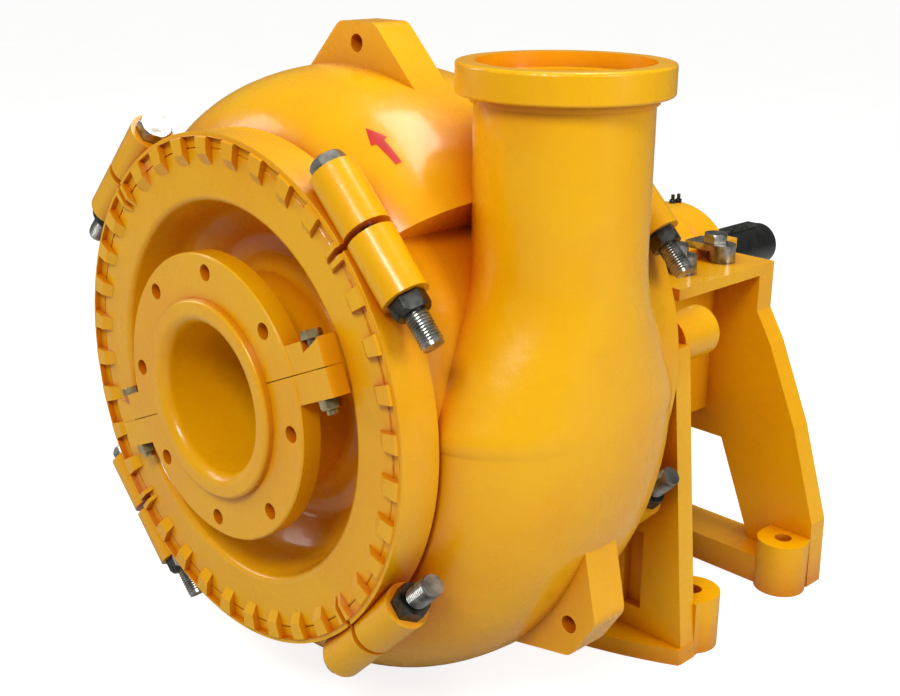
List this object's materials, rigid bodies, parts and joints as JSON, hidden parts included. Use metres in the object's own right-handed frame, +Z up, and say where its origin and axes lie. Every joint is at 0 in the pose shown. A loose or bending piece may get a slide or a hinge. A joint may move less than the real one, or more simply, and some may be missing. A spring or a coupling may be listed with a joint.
{
  "type": "slurry pump",
  "caption": "Horizontal gravel slurry pump with a volute casing in castellated clamp rings, split suction flange, upright discharge and a bearing pedestal on a cast base.",
  "frame": {"origin": "on the ground, at the centre of the four base bolt holes, below the shaft axis", "axes": "+Y along the shaft towards the drive end, +X towards the discharge side, +Z up"},
  "size_m": [0.9099, 1.282, 0.9324],
  "materials": {
    "yellow_enamel": "gloss",
    "zinc_steel": "satin",
    "dark_steel": "oiled",
    "white_iron": "as cast",
    "oiled_shaft": "oiled",
    "key_steel": "satin",
    "sleeve_steel": "ground",
    "seal_rubber": "matt",
    "lantern_brass": "turned",
    "packing_braid": "braided",
    "gland_iron": "gloss",
    "bearing_steel": "ground"
  },
  "bodies": {
    "pump_frame": {"volute_casing": "yellow_enamel", "front_door": "yellow_enamel", "frame_plate": "yellow_enamel", "back_liner": "white_iron", "front_seal_ring": "seal_rubber", "rear_seal_ring": "seal_rubber", "suction_joint_ring": "yellow_enamel", "suction_flange_upper": "yellow_enamel", "suction_flange_lower": "yellow_enamel", "flange_ear_bolts": "zinc_steel", "flange_ear_nuts": "zinc_steel", "front_clamp_right": "yellow_enamel", "front_clamp_top": "yellow_enamel", "front_clamp_left": "yellow_enamel", "front_clamp_bottom": "yellow_enamel", "front_clamp_bolts": "zinc_steel", "front_clamp_nuts": "dark_steel", "rear_clamp_right": "yellow_enamel", "rear_clamp_top": "yellow_enamel", "rear_clamp_left": "yellow_enamel", "rear_clamp_bottom": "yellow_enamel", "rear_clamp_bolts": "zinc_steel", "rear_clamp_nuts": "dark_steel", "stuffing_box": "yellow_enamel", "lantern_ring": "lantern_brass", "packing_rings": "packing_braid", "gland_studs": "zinc_steel", "adjusting_screw": "zinc_steel", "base_frame": "yellow_enamel", "clamp_washers": "zinc_steel", "clamp_washer_bolts": "zinc_steel"},
    "gland": {"gland_upper": "gland_iron", "gland_lower": "gland_iron", "gland_nuts": "zinc_steel"},
    "bearing_cartridge": {"bearing_housing": "yellow_enamel", "bearing_cover_wet": "yellow_enamel", "bearing_cover_drive": "yellow_enamel", "outer_race_wet": "bearing_steel", "outer_race_drive": "bearing_steel", "cover_screws": "zinc_steel", "grease_fittings": "dark_steel", "adjusting_nuts": "zinc_steel"},
    "rotor": {"shaft": "oiled_shaft", "impeller": "white_iron", "shaft_key": "key_steel", "shaft_sleeve": "sleeve_steel", "inner_race_wet": "bearing_steel", "inner_race_drive": "bearing_steel", "bearing_locknut": "bearing_steel"},
    "wet_roller_set": {"roller_cage_wet": "bearing_steel"},
    "drive_roller_set": {"roller_cage_drive": "bearing_steel"}
  },
  "joints": [
    {"name": "bearing_adjust", "type": "slide", "parent": "pump_frame", "child": "bearing_cartridge", "axis": [0, 1, 0], "range_m": [-0.004, 0.004]},
    {"name": "rotor_spin", "type": "hinge", "parent": "bearing_cartridge", "child": "rotor", "pos_m": [0, 0.1, 0.465], "axis": [0, -1, 0], "continuous": true},
    {"name": "wet_rollers_spin", "type": "hinge", "parent": "bearing_cartridge", "child": "wet_roller_set", "pos_m": [0, 0.04, 0.465], "axis": [0, -1, 0], "continuous": true},
    {"name": "drive_rollers_spin", "type": "hinge", "parent": "bearing_cartridge", "child": "drive_roller_set", "pos_m": [0, 0.2, 0.465], "axis": [0, -1, 0], "continuous": true},
    {"name": "gland_slide", "type": "slide", "parent": "pump_frame", "child": "gland", "axis": [0, 1, 0], "range_m": [0, 0.014]}
  ],
  "couplings": [
    {"joint": "wet_rollers_spin", "follows": "rotor_spin", "ratio": 0.425},
    {"joint": "drive_rollers_spin", "follows": "rotor_spin", "ratio": 0.425}
  ]
}
